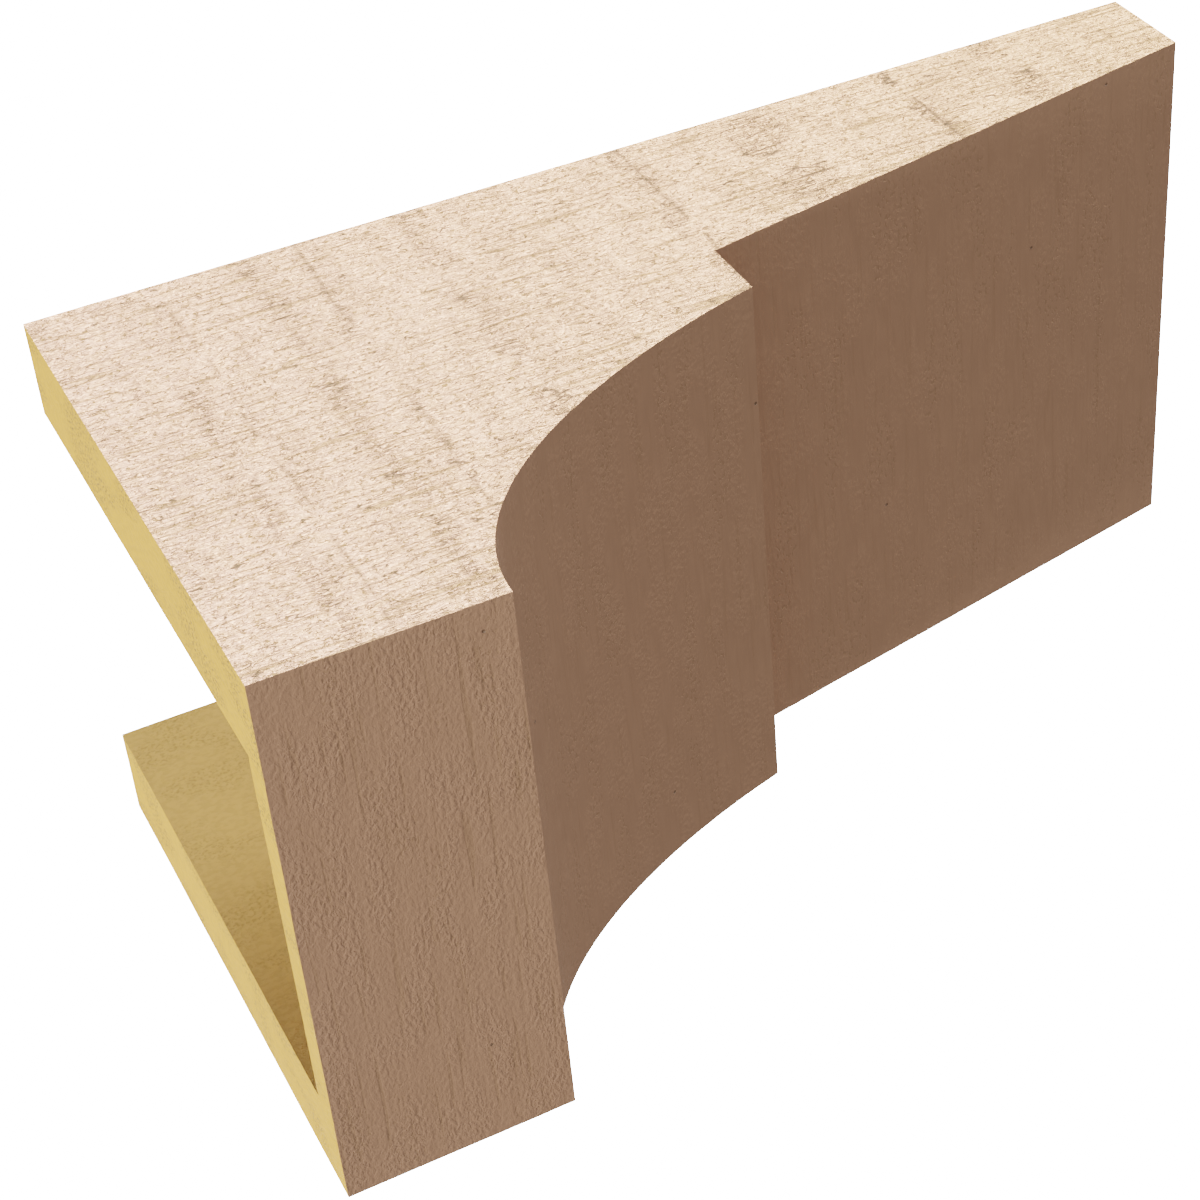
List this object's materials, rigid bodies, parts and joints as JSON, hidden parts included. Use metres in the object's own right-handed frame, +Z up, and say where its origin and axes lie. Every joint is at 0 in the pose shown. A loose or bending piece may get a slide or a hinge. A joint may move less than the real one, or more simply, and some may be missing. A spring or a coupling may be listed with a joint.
{
  "type": "corbel",
  "caption": "Hollow foam corbel with a flat fascia, a hollow-curved front, a stepped taper and a rough-sawn timber skin, fixed to a wall under a shelf, beam or eave.",
  "frame": {"origin": "on the wall plane, in the middle of the strip where the foot lands on the wall", "axes": "+Z up, +Y out of the back towards the wall, -Y is the front, X across the width"},
  "size_m": [0.1524, 0.1524, 0.3048],
  "materials": {
    "moulded_skin": "rough-sawn timber grain moulded in a matt tan skin, with bare yellow foam at the open ends and inside"
  },
  "bodies": {
    "root": {"corbel": "moulded_skin"}
  },
  "joints": []
}
